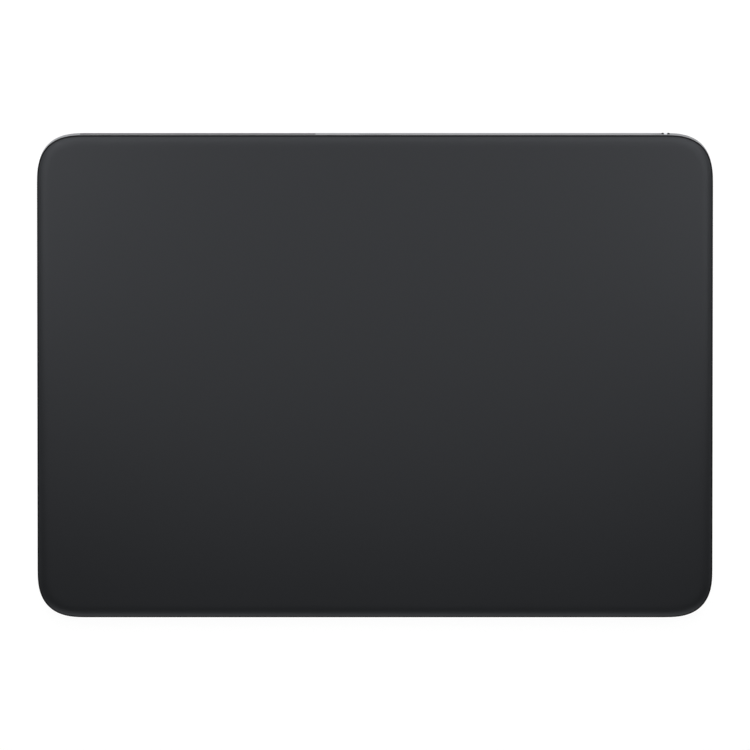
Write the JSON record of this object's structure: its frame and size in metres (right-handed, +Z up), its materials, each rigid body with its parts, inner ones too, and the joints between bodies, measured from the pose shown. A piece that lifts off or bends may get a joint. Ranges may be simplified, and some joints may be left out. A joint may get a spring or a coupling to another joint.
{
  "type": "trackpad",
  "caption": "Slim wedge-shaped wireless trackpad: a satin black glass plate floats on force-sensing flexures over an aluminium tray with a rear charging port and a slide switch.",
  "frame": {"origin": "on the desk, under the middle of the pad; the feet's undersides lie in Z = 0", "axes": "+X to the user's right, +Y to the rear edge with the port and the switch, +Z up"},
  "size_m": [0.16, 0.1153, 0.0108],
  "materials": {
    "satin_glass": "acid-etched black-backed glass, satin",
    "anodised_aluminium": "bead-blasted, clear anodised",
    "window_plastic": "moulded, painted grey",
    "foot_rubber": "moulded, matt",
    "gasket_foam": "cut foam",
    "gel": "cast silicone gel",
    "circuit_board": "solder mask over glass laminate",
    "flex_circuit": "polyimide film",
    "chip_resin": "moulded epoxy",
    "connector_resin": "moulded",
    "switch_resin": "moulded",
    "indicator_plastic": "moulded, green",
    "stamped_steel": "stamped sheet",
    "spring_steel": "cold-rolled strip",
    "screw_steel": "cold-headed",
    "core_iron": "laminated",
    "copper": "enamelled winding and etched foil",
    "gold_plate": "gold-plated",
    "battery_foil": "laminated pouch foil",
    "adhesive": "stretch-release tape"
  },
  "bodies": {
    "tray": {"enclosure": "anodised_aluminium", "rim_gasket": "gasket_foam", "antenna_window": "window_plastic", "antenna": "copper", "antenna_contact": "gold_plate", "port_shell": "stamped_steel", "port_insulator": "switch_resin", "port_contacts": "gold_plate", "port_bracket": "stamped_steel", "bracket_screws": "screw_steel", "port_flex": "flex_circuit", "switch_body": "switch_resin", "switch_bracket": "stamped_steel", "switch_flex": "flex_circuit", "logic_board": "circuit_board", "processor_chip": "chip_resin", "radio_shield": "stamped_steel", "charger_chip": "chip_resin", "force_amplifier_chip": "chip_resin", "board_passives": "connector_resin", "touch_connector": "connector_resin", "battery_connector": "connector_resin", "haptic_connector": "connector_resin", "gauge_connectors": "connector_resin", "board_screws": "screw_steel", "battery_cell": "battery_foil", "battery_protection_board": "circuit_board", "battery_lead": "flex_circuit", "battery_adhesive": "adhesive", "touch_flex": "flex_circuit", "haptic_frame": "stamped_steel", "haptic_core": "core_iron", "haptic_coil": "copper", "haptic_screws": "screw_steel", "haptic_flex": "flex_circuit", "flexure_screws": "screw_steel", "gauge_flex_left": "flex_circuit", "gauge_flex_right": "flex_circuit", "foot_front_left": "foot_rubber", "foot_front_right": "foot_rubber", "foot_rear_left": "foot_rubber", "foot_rear_right": "foot_rubber"},
    "suspension": {"flexure_front_left": "spring_steel", "flexure_front_right": "spring_steel", "flexure_rear_left": "spring_steel", "flexure_rear_right": "spring_steel", "strain_gauges": "flex_circuit"},
    "touch_plate": {"touch_glass": "satin_glass", "touch_sensor_board": "circuit_board", "touch_controller_chip": "chip_resin", "stiffener_plate": "stamped_steel", "haptic_armature": "core_iron", "gel_pad_front_left": "gel", "gel_pad_front_right": "gel", "gel_pad_rear_left": "gel", "gel_pad_rear_right": "gel"},
    "power_switch": {"switch_slider": "anodised_aluminium", "switch_indicator": "indicator_plastic", "switch_actuator": "connector_resin"}
  },
  "joints": [
    {"name": "touch_press", "type": "slide", "parent": "tray", "child": "suspension", "axis": [0, 0.0521, -0.9986], "range_m": [0, 0.0002], "stiffness_N_per_m": 20000, "springref_m": -0.0001, "deforming": ["flexure_front_left", "flexure_front_right", "flexure_rear_left", "flexure_rear_right", "strain_gauges", "rim_gasket", "touch_flex"]},
    {"name": "haptic_shift", "type": "slide", "parent": "suspension", "child": "touch_plate", "axis": [1, 0, 0], "range_m": [-0.0001, 0.0001], "stiffness_N_per_m": 17500, "deforming": ["gel_pad_front_left", "gel_pad_front_right", "gel_pad_rear_left", "gel_pad_rear_right"]},
    {"name": "switch_slide", "type": "slide", "parent": "tray", "child": "power_switch", "axis": [1, 0, 0], "range_m": [-0.0025, 0]}
  ]
}
